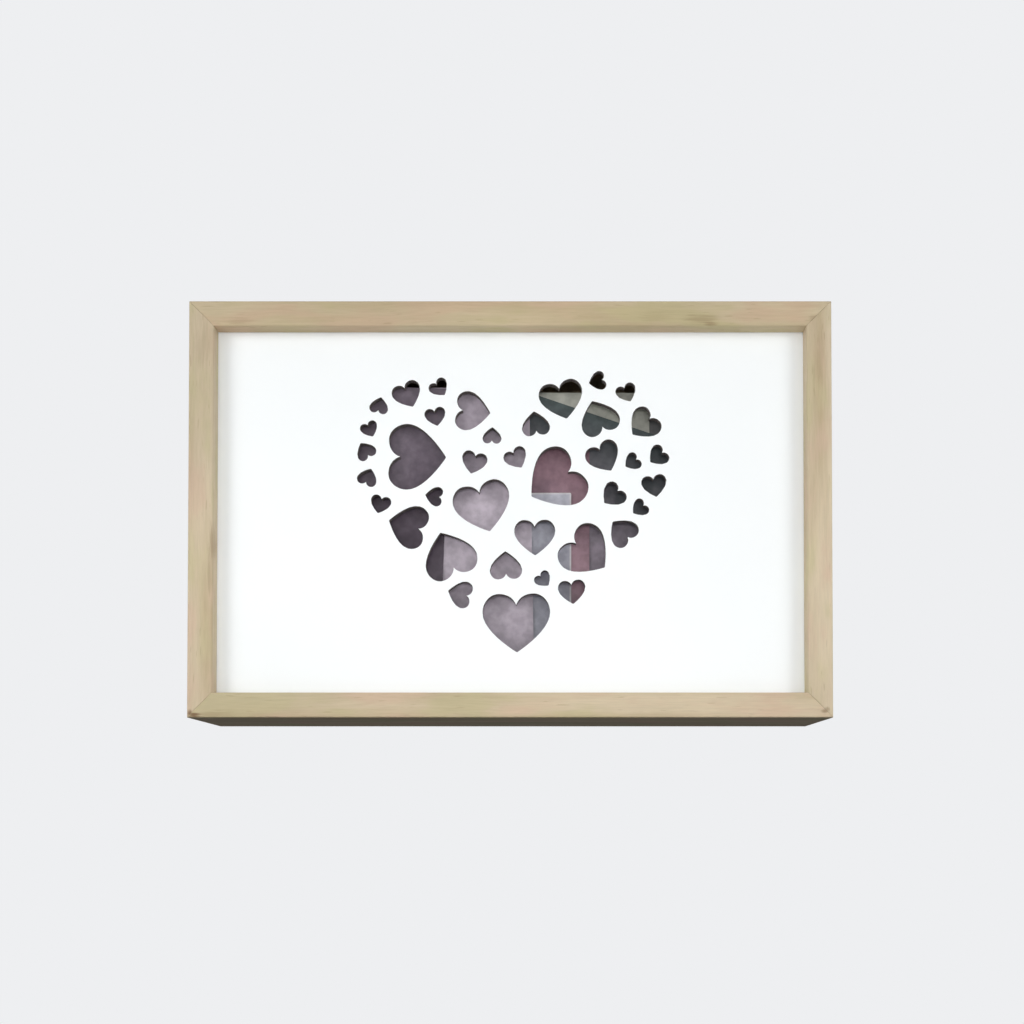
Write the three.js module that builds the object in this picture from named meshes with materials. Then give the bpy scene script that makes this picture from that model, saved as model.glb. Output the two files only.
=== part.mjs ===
// A wooden photo box: a deep mitred frame that stands on its lower edge, with a white
// panel set back in its front. Small hearts cut through the panel make up one great heart,
// and loose photo prints that stand in the box behind it show through them.
// Millimetres, +Z up. The front faces -Y, and the origin is under the middle of the box.

import * as THREE from "three";

// The prints that the box is made for, and the room it gives them.
const printLong = 150;
const printShort = 100;
const smallPrintLong = 127;
const smallPrintShort = 89;
const printThickness = 0.3;
const headroom = 26;
const spareWidth = 34;
const photoSpace = 31.5;

// The case of four planed rails.
const stock = 12;
const edgeRound = 0.8;
const mitreGap = 0.3;

// The panel, in a groove round the inside of the rails.
const panelRecess = 6.5;
const panelThickness = 3;
const grooveDepth = 4;

// The back board, in a rebate round the back.
const boardThickness = 3;
const boardInset = 0.7;
const rebateWidth = 5;

// Clearances.
const slideFit = 0.3;
const layerGap = 0.5;

// The great heart that the cut-outs make, from the rails' inner edges.
const heartMargin = 19.7;

// The shape of one cut-out, in shares of its width, and the facets of its curves.
const tipRise = 0.87;
const notchDrop = 0.17;
const lobeReach = 0.26;
const widestDrop = 0.28;
const facetLength = 3.6;
const fewestFacets = 3;

// How far the prints lean forwards, so that they rest against the panel.
const leanAngle = THREE.MathUtils.degToRad(2);

const innerWidth = printLong + printShort + spareWidth;
const innerHeight = printLong + headroom;
const caseWidth = innerWidth + 2 * stock;
const caseHeight = innerHeight + 2 * stock;
const panelBack = panelRecess + panelThickness;
const rebateStart = panelBack + photoSpace;
const caseDepth = rebateStart + slideFit + boardThickness + boardInset;
const frontY = -caseDepth / 2;
const centreZ = caseHeight / 2;
const greatHeartHeight = innerHeight - 2 * heartMargin;

const wood = { color: 0xcdbd9c, roughness: 0.6, metalness: 0 };
const paint = { color: 0xf7f7f3, roughness: 0.5, metalness: 0 };
const hardboard = { color: 0xa89478, roughness: 0.85, metalness: 0 };

function makeMesh(name, geometry, finish) {
  const mesh = new THREE.Mesh(geometry, new THREE.MeshStandardMaterial(finish));
  mesh.name = name;
  return mesh;
}

// A rail's section: x runs from its outer face inwards, y from the front to the back.
function railSection() {
  const grooveFront = panelRecess - slideFit;
  const grooveBack = panelBack + slideFit;
  const section = new THREE.Shape();
  section.moveTo(edgeRound, 0);
  section.lineTo(stock - edgeRound, 0);
  section.absarc(stock - edgeRound, edgeRound, edgeRound, -Math.PI / 2, 0, false);
  section.lineTo(stock, grooveFront);
  section.lineTo(stock - grooveDepth, grooveFront);
  section.lineTo(stock - grooveDepth, grooveBack);
  section.lineTo(stock, grooveBack);
  section.lineTo(stock, rebateStart);
  section.lineTo(stock - rebateWidth, rebateStart);
  section.lineTo(stock - rebateWidth, caseDepth);
  section.lineTo(edgeRound, caseDepth);
  section.absarc(edgeRound, caseDepth - edgeRound, edgeRound, Math.PI / 2, Math.PI, false);
  section.absarc(edgeRound, edgeRound, edgeRound, Math.PI, 1.5 * Math.PI, false);
  return section;
}

// Cuts both ends at 45 degrees: the deeper a point lies in the stock, the further in it ends.
function mitreEnds(geometry, length) {
  const points = geometry.attributes.position;
  for (let i = 0; i < points.count; i += 1) {
    const reach = length / 2 - points.getX(i) - mitreGap / Math.SQRT2;
    points.setZ(i, Math.sign(points.getZ(i)) * reach);
  }
}

// A rail stands along z with its outer face at x = 0, then turns about the y axis.
function makeRail(name, length, turn, x, z) {
  const settings = { depth: length, bevelEnabled: false, curveSegments: 3 };
  const geometry = new THREE.ExtrudeGeometry(railSection(), settings);
  geometry.translate(0, 0, -length / 2);
  mitreEnds(geometry, length);
  const rail = makeMesh(name, geometry, wood);
  rail.rotation.y = turn;
  rail.position.set(x, frontY, z);
  return rail;
}

function makeCase() {
  const rails = new THREE.Group();
  rails.add(makeRail("bottom_rail", caseWidth, -Math.PI / 2, 0, 0));
  rails.add(makeRail("top_rail", caseWidth, Math.PI / 2, 0, caseHeight));
  rails.add(makeRail("left_rail", caseHeight, 0, -caseWidth / 2, centreZ));
  rails.add(makeRail("right_rail", caseHeight, Math.PI, caseWidth / 2, centreZ));
  return rails;
}

// One half of a heart of width 1, from the notch over the lobe and down to the tip.
// The middle of the heart's height lies at the origin.
function heartSide(side) {
  const top = tipRise / 2;
  const at = (x, drop) => new THREE.Vector2(side * x, top - drop);
  const lobeTop = at(lobeReach, 0);
  const widest = at(0.5, widestDrop);
  return [
    new THREE.CubicBezierCurve(at(0, notchDrop), at(0.03, 0.075), at(0.115, 0), lobeTop),
    new THREE.CubicBezierCurve(lobeTop, at(0.39, 0), at(0.5, 0.125), widest),
    new THREE.CubicBezierCurve(widest, at(0.5, 0.5), at(0.2, 0.74), at(0, tipRise)),
  ];
}

// The outline of one cut-out. A positive turn swings the tip to the right.
function heartOutline(x, z, width, turn) {
  const facets = Math.max(fewestFacets, Math.round(width / facetLength));
  const angle = THREE.MathUtils.degToRad(turn);
  const centre = new THREE.Vector2(0, 0);
  const right = heartSide(1).flatMap((curve) => curve.getPoints(facets).slice(0, -1));
  const left = heartSide(-1).flatMap((curve) => curve.getPoints(facets).slice(1));
  const outline = right.concat(left.reverse());
  return outline.map((point) => {
    point.multiplyScalar(width).rotateAround(centre, angle);
    return point.add(new THREE.Vector2(x, z));
  });
}

// The cut-outs, laid out by hand as [x, z, width, turn] from the middle of the panel, in
// hundredths of the great heart's height. They read down the left lobe, then the middle, then
// up the right lobe.
const layout = [
  [-36.6, 42.1, 10.5, 24],
  [-25.3, 44.6, 7.1, 37],
  [-46.7, 38.5, 6.8, 168],
  [-50.1, 29.8, 6.4, 25],
  [-26.7, 34.3, 7.6, 12],
  [-13.3, 36.3, 14.1, 84],
  [-6.6, 27.7, 6.8, 178],
  [-33.1, 20, 23.5, 89],
  [-13.1, 17.9, 9.2, -14],
  [-51.7, 22.3, 7.2, -148],
  [-50.7, 12.9, 7.2, 159],
  [-46.3, 3, 7.4, -15],
  [-27.3, 6, 7.1, -99],
  [-36.7, -4.5, 15.6, -106],
  [-22, -14.7, 18.9, -159],
  [-18.1, -28.8, 9.7, -105],
  [-9.7, 2, 20.4, 15],
  [-1.7, -18.6, 11.5, 182],
  [11.7, -23.8, 6.2, 40],
  [21.8, -28.2, 9.8, 6],
  [2.1, -39.2, 24, 1],
  [8.6, -8.8, 14.6, 1],
  [27.1, -14.1, 19, 50],
  [39.5, -6.5, 10.9, -136],
  [45.7, 1.6, 6.5, -53],
  [36.2, 6.2, 9.2, -48],
  [51.1, 9.6, 9.1, 10],
  [52.2, 20.2, 7.7, -51],
  [43.1, 18.1, 6.5, -56],
  [33.2, 19.8, 12.3, 28],
  [47.1, 31.5, 11.9, -47],
  [41.3, 42.8, 7.5, 24],
  [30.7, 47.1, 6.9, -75],
  [31.2, 34.3, 14.1, -158],
  [18.3, 40.3, 15.7, 14],
  [8.8, 32, 10, -173],
  [15.5, 11.3, 22.5, -56],
  [2.1, 19.4, 8.5, 29],
];

function makeHeartPanel() {
  const reach = 2 * (grooveDepth - slideFit);
  const width = innerWidth + reach;
  const height = innerHeight + reach;
  const step = greatHeartHeight / 100;
  const sheet = new THREE.Shape();
  sheet.moveTo(-width / 2, -height / 2);
  sheet.lineTo(width / 2, -height / 2);
  sheet.lineTo(width / 2, height / 2);
  sheet.lineTo(-width / 2, height / 2);
  for (const [x, z, heartWidth, turn] of layout) {
    const outline = heartOutline(x * step, z * step, heartWidth * step, turn);
    sheet.holes.push(new THREE.Path(outline));
  }
  const settings = { depth: panelThickness, bevelEnabled: false };
  const panel = makeMesh("heart_panel", new THREE.ExtrudeGeometry(sheet, settings), paint);
  panel.rotation.x = Math.PI / 2;
  panel.position.set(0, frontY + panelBack, centreZ);
  return panel;
}

function makeBackBoard() {
  const reach = 2 * (rebateWidth - slideFit);
  const size = [innerWidth + reach, boardThickness, innerHeight + reach];
  const board = makeMesh("back_board", new THREE.BoxGeometry(...size), hardboard);
  const front = rebateStart + slideFit;
  board.position.set(0, frontY + front + boardThickness / 2, centreZ);
  return board;
}

// One loose print. It stands on its lowest corner or edge on the bottom rail, turned in its
// own plane, and leans forwards. Its layer counts backwards from the panel, and its place runs
// from -1 at the left rail to 1 at the right one.
function makePrint(name, width, height, layer, place, turn, color) {
  const geometry = new THREE.BoxGeometry(width, printThickness, height);
  const print = makeMesh(name, geometry, { color, roughness: 0.25, metalness: 0 });
  const angle = THREE.MathUtils.degToRad(turn);
  const slant = Math.abs(Math.sin(angle));
  const halfRun = (width * Math.cos(angle) + height * slant) / 2;
  const halfRise = (width * slant + height * Math.cos(angle)) / 2;
  const freeRun = innerWidth / 2 - slideFit - halfRun;
  const forward = halfRise * Math.sin(leanAngle);
  const firstFoot = panelBack + layerGap + printLong * Math.sin(leanAngle);
  const foot = firstFoot + layer * (printThickness + layerGap);
  const up = halfRise * Math.cos(leanAngle) + printThickness * Math.sin(leanAngle) / 2;
  print.rotation.set(leanAngle, angle, 0);
  print.position.set(place * freeRun, frontY + foot - forward, stock + slideFit + up);
  return print;
}

// The prints stand in layers, so that each covers part of the ones behind it.
function makePrints() {
  const prints = new THREE.Group();
  const [long, short] = [printLong, printShort];
  prints.add(makePrint("photo_plum", short, long, 0, -0.93, 2, 0x5d4a55));
  prints.add(makePrint("photo_lilac", short, long, 1, -0.44, -1, 0xa9a3ae));
  prints.add(makePrint("photo_mist", long, short, 2, -0.68, 0, 0x9a9aa0));
  prints.add(makePrint("photo_wine", smallPrintShort, smallPrintLong, 3, -0.06, 0, 0x7c4650));
  prints.add(makePrint("photo_dusk", smallPrintShort, smallPrintLong, 4, 0.43, 18.5, 0x3b4348));
  prints.add(makePrint("photo_grey", short, long, 5, 0.2, 0, 0x8d938d));
  prints.add(makePrint("photo_night", short, long, 6, 0.98, 0, 0x3a3d3c));
  return prints;
}

const photoBox = new THREE.Group();
photoBox.add(makeCase());
photoBox.add(makeHeartPanel());
photoBox.add(makeBackBoard());
photoBox.add(makePrints());

export default photoBox;
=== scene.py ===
import math

import bmesh
import bpy
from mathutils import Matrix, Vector


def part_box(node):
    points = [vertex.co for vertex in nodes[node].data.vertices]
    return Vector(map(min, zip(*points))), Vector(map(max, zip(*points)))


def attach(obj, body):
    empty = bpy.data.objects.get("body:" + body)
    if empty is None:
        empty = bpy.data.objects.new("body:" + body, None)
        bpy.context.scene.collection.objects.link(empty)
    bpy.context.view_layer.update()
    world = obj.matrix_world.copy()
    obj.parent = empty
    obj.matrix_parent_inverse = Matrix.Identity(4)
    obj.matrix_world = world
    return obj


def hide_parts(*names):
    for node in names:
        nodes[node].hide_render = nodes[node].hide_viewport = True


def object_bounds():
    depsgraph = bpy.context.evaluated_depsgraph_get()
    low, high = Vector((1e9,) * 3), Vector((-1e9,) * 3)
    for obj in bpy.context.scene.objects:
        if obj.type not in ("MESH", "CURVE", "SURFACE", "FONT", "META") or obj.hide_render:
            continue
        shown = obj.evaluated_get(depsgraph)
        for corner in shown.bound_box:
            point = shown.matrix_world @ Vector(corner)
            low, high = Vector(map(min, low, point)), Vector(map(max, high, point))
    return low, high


# A wooden photo box with a white panel of heart cut-outs and loose photo prints behind it.
# Metres, +Z up. The front faces -Y.

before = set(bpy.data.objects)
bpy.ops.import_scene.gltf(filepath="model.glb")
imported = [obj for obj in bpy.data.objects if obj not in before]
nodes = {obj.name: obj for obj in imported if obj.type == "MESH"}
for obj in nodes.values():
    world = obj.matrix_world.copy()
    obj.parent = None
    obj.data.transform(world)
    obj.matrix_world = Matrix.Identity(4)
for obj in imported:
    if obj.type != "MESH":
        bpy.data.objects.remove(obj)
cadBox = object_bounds()
scene = bpy.context.scene
print("frame loaded:", len(nodes), "nodes")


# Turns 0 to 255 screen values into the linear colour that a shader takes
def srgb(red, green, blue):
    def linear(value):
        v = value / 255
        return v / 12.92 if v <= 0.04045 else ((v + 0.055) / 1.055) ** 2.4
    return (linear(red), linear(green), linear(blue), 1)


def newMaterial(name):
    material = bpy.data.materials.new(name)
    material.use_nodes = True
    return material, material.node_tree, material.node_tree.nodes["Principled BSDF"]


def addNode(tree, kind, values=None, **settings):
    node = tree.nodes.new("ShaderNode" + kind)
    for key, value in settings.items():
        setattr(node, key, value)
    for key, value in (values or {}).items():
        socket = node.inputs[key]
        if isinstance(value, bpy.types.NodeSocket):
            tree.links.new(value, socket)
        else:
            socket.default_value = value
    return node


def maths(tree, operation, a, b=0.0):
    return addNode(tree, "Math", {0: a, 1: b}, operation=operation).outputs[0]


def ramp(tree, factor, stops):
    node = addNode(tree, "ValToRGB", {"Fac": factor})
    places = node.color_ramp.elements
    while len(places) < len(stops):
        places.new(0.5)
    for place, (position, colour) in zip(places, stops):
        place.position = position
        place.color = colour
    return node.outputs["Color"]


def mixed(tree, factor, a, b, blend="MIX"):
    node = addNode(tree, "Mix", data_type="RGBA", blend_type=blend)
    for socket, value in ((node.inputs[0], factor), (node.inputs[6], a), (node.inputs[7], b)):
        if isinstance(value, bpy.types.NodeSocket):
            tree.links.new(value, socket)
        else:
            socket.default_value = value
    return node.outputs[2]


def smoothRange(tree, value, low, high, outLow=0.0, outHigh=1.0):
    node = addNode(tree, "MapRange", {"Value": value, "From Min": low, "From Max": high,
                                      "To Min": outLow, "To Max": outHigh},
                   interpolation_type="SMOOTHSTEP")
    return node.outputs["Result"]


def noise(tree, vector, size, detail=2, rough=0.5):
    return addNode(tree, "TexNoise", {"Vector": vector, "Scale": size, "Detail": detail,
                                      "Roughness": rough}).outputs["Fac"]


# Darkens or lightens a colour by a factor that is the same for red, green and blue
def shaded(tree, colour, factor):
    shade = addNode(tree, "CombineColor", {0: factor, 1: factor, 2: factor}).outputs[0]
    return mixed(tree, 1.0, colour, shade, "MULTIPLY")


def addBump(tree, shader, height, distance, strength):
    bump = addNode(tree, "Bump", {"Height": height, "Distance": distance, "Strength": strength})
    tree.links.new(bump.outputs[0], shader.inputs["Normal"])


def pieceName(nodeName):
    words = nodeName.split("_")
    return words[0] + words[1].capitalize()


# A welded copy of a CAD node's mesh, to bevel and finish
def copyOfNode(name, nodeName):
    mesh = nodes[nodeName].data.copy()
    mesh.name = name
    mesh.materials.clear()
    piece = bpy.data.objects.new(name, mesh)
    scene.collection.objects.link(piece)
    bm = bmesh.new()
    bm.from_mesh(mesh)
    bmesh.ops.remove_doubles(bm, verts=bm.verts, dist=0.00001)
    flat = math.radians(1)
    bmesh.ops.dissolve_limit(bm, angle_limit=flat, verts=bm.verts, edges=bm.edges)
    return piece, bm


def finishPiece(piece, bm, material, nodeName, sharpAngle):
    bm.to_mesh(piece.data)
    bm.free()
    piece.data.polygons.foreach_set("use_smooth", [True] * len(piece.data.polygons))
    piece.data.set_sharp_from_angle(angle=math.radians(sharpAngle))
    flat = piece.modifiers.new("flatFaces", "WEIGHTED_NORMAL")
    flat.weight = 80
    flat.keep_sharp = True
    piece.data.materials.append(material)
    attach(piece, "root")
    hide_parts(nodeName)


wood = {
    "light": srgb(209, 193, 166),
    "mid": srgb(200, 183, 154),
    "dark": srgb(188, 169, 137),
    "pink": srgb(205, 180, 156),
    "yellow": srgb(196, 185, 147),
    "pore": srgb(150, 127, 98),
    "stain": srgb(124, 94, 64),
    "bandSize": 120,         # streaks, per metre across the grain
    "fibreSize": 1300,
    "poreSize": 1100,
    "tintSize": 75,          # pink and yellow patches
    "cloudSize": 38,         # broad light and dark places
    "stretch": 0.06,         # the scale along the grain, as a share of that across it
    "poreStretch": 0.09,
    "tintStretch": 0.3,
    "wanderSize": 9,
    "wander": 0.006,         # metres
    "roughness": 0.6,
    "specular": 0.35,
    "bump": 0.00006,
    "markDepth": 160,        # one over a mark's depth in metres
}

# A rail's marks are soft stains in its front, each with its x, z, half length, half height in
# millimetres and its strength.
rails = {
    "bottom_rail": {
        "turn": (0, 0, 0), "shift": (0.0, 0.0, 0.0), "tone": (0.95, 0.95, 0.93, 1),
        "marks": [(-150.5, 1.2, 3.2, 1.3, 0.9), (-141, 1.5, 9, 2, 0.25), (150, 3, 2.2, 1.2, 0.6)],
    },
    "top_rail": {
        "turn": (0, 0, 0), "shift": (0.9, 0.31, 0.07), "tone": (0.88, 0.87, 0.8, 1),
        "marks": [(92, 191, 9, 2.6, 0.3), (96, 189, 3.5, 1.2, 0.45), (70, 192, 11, 3, 0.12),
                  (146, 191.5, 3.4, 2.2, 0.3), (-131, 190, 9, 2.2, 0.2)],
    },
    "left_rail": {
        "turn": (0, math.pi / 2, 0), "shift": (0.4, 0.17, 0.53), "tone": (0.95, 0.95, 0.94, 1),
        "marks": [(-142.4, 84, 1.5, 10, 0.35), (-143.5, 70, 1.3, 14, 0.2),
                  (-148, 178, 5, 12, 0.14), (-152.6, 2, 1.4, 2.2, 0.8)],
    },
    "right_rail": {
        "turn": (0, math.pi / 2, 0), "shift": (1.7, 0.43, 0.29), "tone": (0.98, 0.98, 0.97, 1),
        "marks": [(148, 172, 4, 16, 0.1), (151, 4, 1.4, 1.4, 0.5)],
    },
}

railEdge = {
    "width": 0.00018,
    "segments": 2,
    "sharpest": 40,          # degrees, above which an edge is eased
    "closing": 0.0002,       # draws the mitres together along each rail
}


def woodMaterial(name, rail):
    material, tree, shader = newMaterial(name)
    place = addNode(tree, "TexCoord").outputs["Object"]
    turned = addNode(tree, "Mapping", {"Vector": place, "Rotation": rail["turn"],
                                       "Location": rail["shift"]}).outputs[0]
    # A slow wander keeps the grain from running dead straight.
    wander = addNode(tree, "TexNoise", {"Vector": turned, "Scale": wood["wanderSize"],
                                        "Detail": 2}).outputs["Color"]
    bent = addNode(tree, "VectorMath", {0: wander, 1: (0.5, 0.5, 0.5)},
                   operation="SUBTRACT").outputs[0]
    bent = addNode(tree, "VectorMath", {0: bent, "Scale": wood["wander"]},
                   operation="SCALE").outputs[0]
    bent = addNode(tree, "VectorMath", {0: turned, 1: bent}, operation="ADD").outputs[0]
    along, porous, broad = [
        addNode(tree, "VectorMath", {0: bent, 1: (wood[key], 1, 1)},
                operation="MULTIPLY").outputs[0]
        for key in ("stretch", "poreStretch", "tintStretch")]
    bands = noise(tree, along, wood["bandSize"], 4, 0.45)
    fibres = noise(tree, along, wood["fibreSize"], 3, 0.65)
    tints = noise(tree, broad, wood["tintSize"], 3)
    clouds = noise(tree, broad, wood["cloudSize"])
    pores = noise(tree, porous, wood["poreSize"], 1)

    colour = ramp(tree, bands, [(0.3, wood["dark"]), (0.45, wood["mid"]), (0.62, wood["light"])])
    pink = smoothRange(tree, tints, 0.5, 0.66, 0, 0.8)
    yellow = smoothRange(tree, tints, 0.5, 0.36, 0, 0.7)
    colour = mixed(tree, pink, colour, wood["pink"])
    colour = mixed(tree, yellow, colour, wood["yellow"])
    shade = maths(tree, "MULTIPLY", smoothRange(tree, fibres, 0.3, 0.7, 0.95, 1.03),
                  smoothRange(tree, clouds, 0.35, 0.65, 0.94, 1.03))
    colour = shaded(tree, colour, shade)
    poreMask = smoothRange(tree, pores, 0.68, 0.76, 0, 0.3)
    colour = mixed(tree, poreMask, colour, wood["pore"])
    for x, z, long, high, strength in rail["marks"]:
        away = addNode(tree, "VectorMath", {0: place, 1: (x / 1000, cadBox[0].y, z / 1000)},
                       operation="SUBTRACT").outputs[0]
        shape = (1000 / long, wood["markDepth"], 1000 / high)
        away = addNode(tree, "VectorMath", {0: away, 1: shape}, operation="MULTIPLY").outputs[0]
        away = addNode(tree, "VectorMath", {0: away}, operation="LENGTH").outputs["Value"]
        away = maths(tree, "ADD", away, smoothRange(tree, fibres, 0.3, 0.7, -0.25, 0.25))
        mask = smoothRange(tree, away, 1.2, 0.2, 0, strength)
        colour = mixed(tree, mask, colour, wood["stain"])
    colour = mixed(tree, 1.0, colour, rail["tone"], "MULTIPLY")
    tree.links.new(colour, shader.inputs["Base Color"])

    rough = smoothRange(tree, fibres, 0.3, 0.7, wood["roughness"] + 0.07,
                        wood["roughness"] - 0.05)
    tree.links.new(rough, shader.inputs["Roughness"])
    shader.inputs["Specular IOR Level"].default_value = wood["specular"]
    addBump(tree, shader, maths(tree, "SUBTRACT", fibres, poreMask), wood["bump"], 0.6)
    return material


def makeRail(nodeName, rail):
    name = pieceName(nodeName)
    piece, bm = copyOfNode(name, nodeName)
    low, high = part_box(nodeName)
    lengthwise = 0 if high.x - low.x > high.z - low.z else 2
    middle = (low[lengthwise] + high[lengthwise]) / 2
    for vert in bm.verts:
        vert.co[lengthwise] += math.copysign(railEdge["closing"], vert.co[lengthwise] - middle)
    sharp = [e for e in bm.edges if e.calc_face_angle(0) > math.radians(railEdge["sharpest"])]
    bmesh.ops.bevel(bm, geom=sharp, offset=railEdge["width"], segments=railEdge["segments"],
                    affect="EDGES", profile=0.5, material=-1, clamp_overlap=True)
    finishPiece(piece, bm, woodMaterial(name + "Wood", rail), nodeName, 50)


for nodeName, rail in rails.items():
    makeRail(nodeName, rail)
print("rails done")


panel = {
    "paint": srgb(249, 252, 252),
    "roughness": 0.42,
    "cloudSize": 14,
    "peelSize": 900,
    "peelHeight": 0.000012,
    "wallShade": srgb(112, 104, 100),      # the cut-outs' walls, dark grey-brown as painted shade for the shadowed rims of the hearts
    "wallShadeDark": srgb(74, 68, 66),
    "wallRoughness": 0.85,
    "fluffSize": 1400,
    "fluffHeight": 0.00008,
    "corner": 0.0009,        # rounds the cut-outs' facets
    "rim": 0.00015,
    "margin": 0.004,         # leaves out the panel's own outer edge
}


def paintMaterial():
    material, tree, shader = newMaterial("whitePaint")
    place = addNode(tree, "TexCoord").outputs["Object"]
    cloud = noise(tree, place, panel["cloudSize"])
    colour = shaded(tree, panel["paint"], smoothRange(tree, cloud, 0.3, 0.7, 0.985, 1.0))
    tree.links.new(colour, shader.inputs["Base Color"])
    rough = smoothRange(tree, cloud, 0.3, 0.7, panel["roughness"] - 0.03,
                        panel["roughness"] + 0.04)
    tree.links.new(rough, shader.inputs["Roughness"])
    addBump(tree, shader, noise(tree, place, panel["peelSize"]), panel["peelHeight"], 0.5)
    return material


# The cut-outs' walls get a dark grey-brown colour, painted shade that stands in for the shadow in
# the hearts' rims.
def wallShadeMaterial():
    material, tree, shader = newMaterial("cutWallShade")
    place = addNode(tree, "TexCoord").outputs["Object"]
    fluff = noise(tree, place, panel["fluffSize"], 3)
    mask = smoothRange(tree, fluff, 0.35, 0.65)
    tree.links.new(mixed(tree, mask, panel["wallShadeDark"], panel["wallShade"]),
                   shader.inputs["Base Color"])
    shader.inputs["Roughness"].default_value = panel["wallRoughness"]
    addBump(tree, shader, fluff, panel["fluffHeight"], 0.6)
    return material


def makePanel():
    piece, bm = copyOfNode("heartPanel", "heart_panel")
    low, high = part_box("heart_panel")
    inside = panel["margin"]

    def isInner(part):
        return all(low.x + inside < v.co.x < high.x - inside
                   and low.z + inside < v.co.z < high.z - inside for v in part.verts)

    # The walls' edges that lie along Y round the cut-outs' outline and tip. The notch, the
    # one that stands out into the cut-out, stays crisp.
    upright = [e for e in bm.edges if isInner(e)
               and abs(e.verts[0].co.y - e.verts[1].co.y) > 0.001
               and e.calc_face_angle_signed(0) < 0]
    print("outline edges rounded:", len(upright))
    bmesh.ops.bevel(bm, geom=upright, offset=panel["corner"], segments=3, affect="EDGES",
                    profile=0.5, material=-1, clamp_overlap=True)
    bm.normal_update()
    # The walls take the second material, the dark painted shade.
    for face in bm.faces:
        if isInner(face) and abs(face.normal.y) < 0.5:
            face.material_index = 1
    rims = [e for e in bm.edges if isInner(e) and e.calc_face_angle(0) > math.radians(60)
            and all(abs(v.co.y - low.y) < 0.00001 for v in e.verts)]
    bmesh.ops.bevel(bm, geom=rims, offset=panel["rim"], segments=2, affect="EDGES",
                    profile=0.5, material=0, clamp_overlap=True)
    piece.data.materials.append(paintMaterial())
    finishPiece(piece, bm, wallShadeMaterial(), "heart_panel", 40)
    print("panel:", len(piece.data.polygons), "faces")


makePanel()


board = {
    "colour": srgb(166, 147, 119),
    "speck": srgb(186, 168, 141),
    "fluffSize": 700,
    "cloudSize": 25,
    "roughness": 0.8,
    "bump": 0.0001,
    "edge": 0.0003,
}


def makeBoard():
    material, tree, shader = newMaterial("bareHardboard")
    place = addNode(tree, "TexCoord").outputs["Object"]
    fluff = noise(tree, place, board["fluffSize"], 5, 0.7)
    cloud = noise(tree, place, board["cloudSize"], 3)
    colour = mixed(tree, smoothRange(tree, fluff, 0.45, 0.75, 0, 0.8), board["colour"],
                   board["speck"])
    colour = mixed(tree, smoothRange(tree, cloud, 0.35, 0.7, 0, 0.35), colour, board["speck"])
    tree.links.new(colour, shader.inputs["Base Color"])
    shader.inputs["Roughness"].default_value = board["roughness"]
    addBump(tree, shader, fluff, board["bump"], 0.5)
    piece, bm = copyOfNode("backBoard", "back_board")
    bmesh.ops.bevel(bm, geom=bm.edges[:], offset=board["edge"], segments=2, affect="EDGES",
                    profile=0.5, material=-1, clamp_overlap=True)
    finishPiece(piece, bm, material, "back_board", 40)


makeBoard()
print("back board done")


# The prints carry plain pictures that copy nothing: a wash through three tones from bottom to
# top, in colours like the photo's, and over it the same two soft motifs. Sizes in millimetres.
prints = {
    "photo_plum": {"size": (100, 150), "turn": 2, "border": 0,
                   "tones": (srgb(120, 110, 120), srgb(80, 70, 80), srgb(110, 100, 110))},
    "photo_lilac": {"size": (100, 150), "turn": -1, "border": 0,
                    "tones": (srgb(140, 130, 140), srgb(190, 180, 190), srgb(160, 150, 160))},
    "photo_mist": {"size": (150, 100), "turn": 0, "border": 0.8,
                   "tones": (srgb(130, 130, 140), srgb(150, 150, 160), srgb(180, 180, 190))},
    "photo_wine": {"size": (89, 127), "turn": 0, "border": 0,
                   "tones": (srgb(110, 90, 100), srgb(160, 130, 140), srgb(140, 110, 120))},
    "photo_dusk": {"size": (89, 127), "turn": 18.5, "border": 0,
                   "tones": (srgb(60, 70, 70), srgb(140, 130, 140), srgb(80, 90, 90))},
    "photo_grey": {"size": (100, 150), "turn": 0, "border": 0,
                   "tones": (srgb(130, 130, 120), srgb(150, 150, 140), srgb(180, 180, 170))},
    "photo_night": {"size": (100, 150), "turn": 0, "border": 0,
                    "tones": (srgb(90, 90, 90), srgb(70, 70, 70), srgb(110, 110, 110))},
}

# Shares of a print's width and height, from its middle. A motif takes one of the print's tones.
motifs = {
    "hill": {"place": (-0.15, -0.2), "half": (0.4, 0.12), "tone": 2, "strength": 0.6},
    "moon": {"place": (0.2, 0.25), "half": (0.15, 0.1), "tone": 0, "strength": 0.6},
}

paper = {
    "lean": 2,               # degrees, forwards
    "white": srgb(196, 194, 196),
    "back": srgb(226, 226, 224),
    "roughness": 0.24,
    "wander": 3,             # how far the washes wave, in millimetres
    "bend": 0.03,            # waves of a wash, and of the sheet itself, per millimetre
    "wobble": 0.16,          # on the motifs' outlines, per millimetre
    "mottle": 0.22,          # per millimetre
    "ripple": 0.0008,        # metres
    "corner": 0.0006,
}


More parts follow.
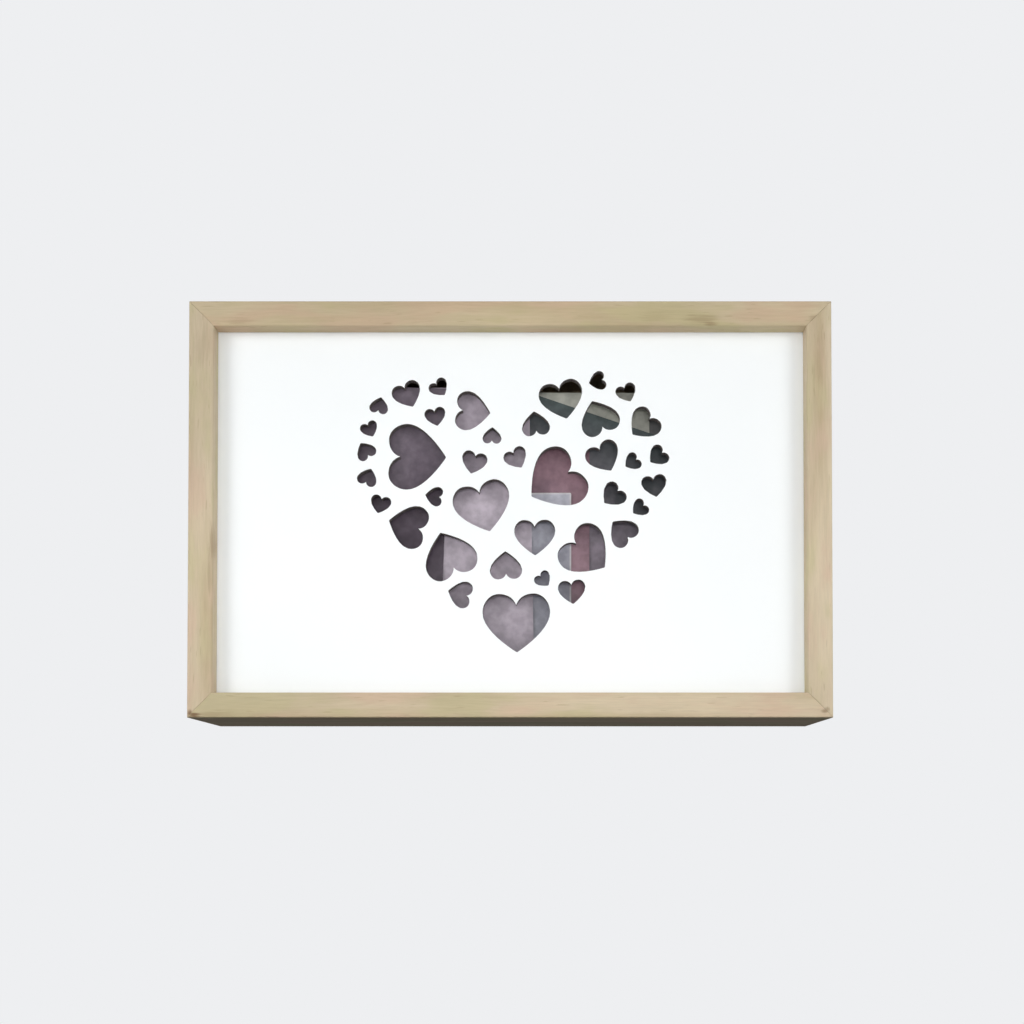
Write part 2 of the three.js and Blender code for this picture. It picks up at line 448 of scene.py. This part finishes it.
def pictureMaterial(name, picture, centre):
    material, tree, shader = newMaterial(name)
    wide, high = picture["size"]
    place = addNode(tree, "TexCoord").outputs["Object"]
    upright = addNode(tree, "Mapping", {"Vector": place, "Location": centre,
                                        "Rotation": (math.radians(paper["lean"]), 0, 0)},
                      vector_type="TEXTURE").outputs[0]
    local = addNode(tree, "Mapping", {"Vector": upright, "Scale": (0.001, 0.001, 0.001),
                                      "Rotation": (0, math.radians(picture["turn"]), 0)},
                    vector_type="TEXTURE").outputs[0]
    split = addNode(tree, "SeparateXYZ", {"Vector": local})
    x, depth, y = split.outputs[0], split.outputs[1], split.outputs[2]

    bend = maths(tree, "SUBTRACT", noise(tree, local, paper["bend"]), 0.5)
    level = maths(tree, "ADD", y, maths(tree, "MULTIPLY", bend, paper["wander"]))
    level = addNode(tree, "MapRange", {"Value": level, "From Min": -high / 2,
                                       "From Max": high / 2}).outputs[0]
    colour = ramp(tree, level, list(zip((0, 0.5, 1), picture["tones"])))
    if picture["border"]:  # a white margin
        edgeX = maths(tree, "SUBTRACT", wide / 2 - picture["border"], maths(tree, "ABSOLUTE", x))
        edgeY = maths(tree, "SUBTRACT", high / 2 - picture["border"], maths(tree, "ABSOLUTE", y))
        inside = maths(tree, "GREATER_THAN", maths(tree, "MINIMUM", edgeX, edgeY), 0.0)
        colour = mixed(tree, inside, paper["white"], colour)

    wobble = smoothRange(tree, noise(tree, local, paper["wobble"], 3), 0.3, 0.7, -0.2, 0.2)
    for motif in motifs.values():
        right, up = motif["place"]
        halfWide, halfHigh = motif["half"]
        inMotif = addNode(tree, "Mapping", {"Vector": local,
                                            "Location": (right * wide, 0, up * high),
                                            "Scale": (halfWide * wide, 100, halfHigh * high)},
                          vector_type="TEXTURE").outputs[0]
        away = addNode(tree, "VectorMath", {0: inMotif}, operation="LENGTH").outputs["Value"]
        away = maths(tree, "ADD", away, wobble)
        mask = smoothRange(tree, away, 1.35, 0.45, 0, motif["strength"])
        colour = mixed(tree, mask, colour, picture["tones"][motif["tone"]])

    mottle = smoothRange(tree, noise(tree, local, paper["mottle"], 5), 0.3, 0.7, 0.86, 1.12)
    colour = shaded(tree, colour, mottle)
    front = maths(tree, "LESS_THAN", depth, 0.0)
    colour = mixed(tree, front, paper["back"], colour)
    tree.links.new(colour, shader.inputs["Base Color"])
    shader.inputs["Roughness"].default_value = paper["roughness"]
    addBump(tree, shader, noise(tree, local, paper["bend"], 1), paper["ripple"], 0.5)
    return material


def makePrint(nodeName, picture):
    name = pieceName(nodeName)
    low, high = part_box(nodeName)
    piece, bm = copyOfNode(name, nodeName)
    upright = [e for e in bm.edges if e.calc_length() < 0.001]
    bmesh.ops.bevel(bm, geom=upright, offset=paper["corner"], segments=3, affect="EDGES",
                    profile=0.5, material=-1, clamp_overlap=True)
    material = pictureMaterial(name + "Picture", picture, tuple((low + high) / 2))
    finishPiece(piece, bm, material, nodeName, 30)


for nodeName, picture in prints.items():
    makePrint(nodeName, picture)
print("prints done")


stage = {
    "gap": 0.0005,           # between the box and the floor, so that the two never flicker
    "sheetGap": 0.000002,    # between the floor and its underside
    "slack": 0.0003,         # how far the opening reaches out in front of the box
    "reach": 4.0,
    "floor": srgb(236, 236, 237),
    "sky": srgb(238, 239, 241),
    "skyLight": (0.14, 0.38),    # its light from below and from above
}


# The camera looks from just below the floor, so the floor is open under the box, and its
# own underside carries the colour of the studio behind it.
def makeFloor(name, drop, material):
    mesh = bpy.data.meshes.new(name)
    bm = bmesh.new()
    low, high = cadBox
    bmesh.ops.create_grid(bm, x_segments=1, y_segments=1, size=0.5)
    bmesh.ops.scale(bm, verts=bm.verts, vec=(high.x - low.x, high.y - low.y + stage["slack"], 1))
    bmesh.ops.translate(bm, verts=bm.verts, vec=(0, -stage["slack"] / 2, low.z - drop))
    hole = bm.faces[:]
    outward = bmesh.ops.extrude_edge_only(bm, edges=bm.edges[:])["geom"]
    for vert in outward:
        if isinstance(vert, bmesh.types.BMVert):
            vert.co.x = math.copysign(stage["reach"], vert.co.x)
            vert.co.y = math.copysign(stage["reach"], vert.co.y)
    bmesh.ops.delete(bm, geom=hole, context="FACES_ONLY")
    bm.to_mesh(mesh)
    bm.free()
    mesh.materials.append(material)
    sheet = bpy.data.objects.new(name, mesh)
    scene.collection.objects.link(sheet)
    return sheet


floorPaint, tree, shader = newMaterial("paleFloor")
shader.inputs["Base Color"].default_value = stage["floor"]
shader.inputs["Roughness"].default_value = 0.9
shader.inputs["Specular IOR Level"].default_value = 0.1
makeFloor("floor", stage["gap"], floorPaint)

skyPaint, tree, shader = newMaterial("studioPaper")
shader.inputs["Base Color"].default_value = (0, 0, 0, 1)
shader.inputs["Specular IOR Level"].default_value = 0
shader.inputs["Emission Color"].default_value = stage["sky"]
shader.inputs["Emission Strength"].default_value = 1
underside = makeFloor("floorUnderside", stage["gap"] + stage["sheetGap"], skyPaint)
underside.visible_diffuse = False
underside.visible_glossy = False
underside.visible_shadow = False

lamps = {
    "leftBox": {"place": (-1.3, -1.0, 0.35), "aim": (0, 0, 0.1), "size": (0.7, 1.0),
                "power": 12.2, "spread": 180},
    "rightBox": {"place": (1.3, -1.0, 0.3), "aim": (0, 0, 0.1), "size": (0.7, 1.0),
                 "power": 10.9, "spread": 180},
    "lowBox": {"place": (0, -0.62, 0.022), "aim": (0, 0, 0.08), "size": (0.5, 0.034),
               "power": 0.18, "spread": 70},
    "rearBox": {"place": (-0.5, 1.5, 1.1), "aim": (0, 0, 0.1), "size": (1.0, 1.0),
                "power": 9, "spread": 180},
}

for name, lamp in lamps.items():
    data = bpy.data.lights.new(name, "AREA")
    data.shape = "RECTANGLE"
    data.size, data.size_y = lamp["size"]
    data.energy = lamp["power"]
    data.spread = math.radians(lamp["spread"])
    light = bpy.data.objects.new(name, data)
    light.location = lamp["place"]
    towards = Vector(lamp["aim"]) - Vector(lamp["place"])
    light.rotation_euler = towards.to_track_quat("-Z", "Y").to_euler()
    light.visible_camera = False
    scene.collection.objects.link(light)

world = bpy.data.worlds.new("studio")
scene.world = world
world.use_nodes = True
tree = world.node_tree
direction = addNode(tree, "TexCoord").outputs["Generated"]
height = addNode(tree, "SeparateXYZ", {"Vector": direction}).outputs[2]
light = smoothRange(tree, height, -0.4, 0.3, *stage["skyLight"])
toCamera = addNode(tree, "LightPath").outputs["Is Camera Ray"]
background = tree.nodes["Background"]
strength = addNode(tree, "Mix", {0: toCamera, 2: light, 3: 1.0}).outputs[0]
tree.links.new(strength, background.inputs["Strength"])
background.inputs["Color"].default_value = stage["sky"]

view = {
    "place": (0.01448, -0.44064, -0.04451),
    "pitch": 0.8,
    "lens": 30.93,
    "shift": (-0.0278, 0.28),
    "nearest": 0.4184,       # just short of the front, so that no floor comes in between
}

cameraData = bpy.data.cameras.new("camera")
cameraData.lens = view["lens"]
cameraData.sensor_width = 36
cameraData.shift_x, cameraData.shift_y = view["shift"]
cameraData.clip_start = view["nearest"]
camera = bpy.data.objects.new("camera", cameraData)
camera.location = view["place"]
camera.rotation_euler = (math.radians(90 + view["pitch"]), 0, 0)
scene.collection.objects.link(camera)
scene.camera = camera
scene.view_settings.view_transform = "Standard"
print("stage done")
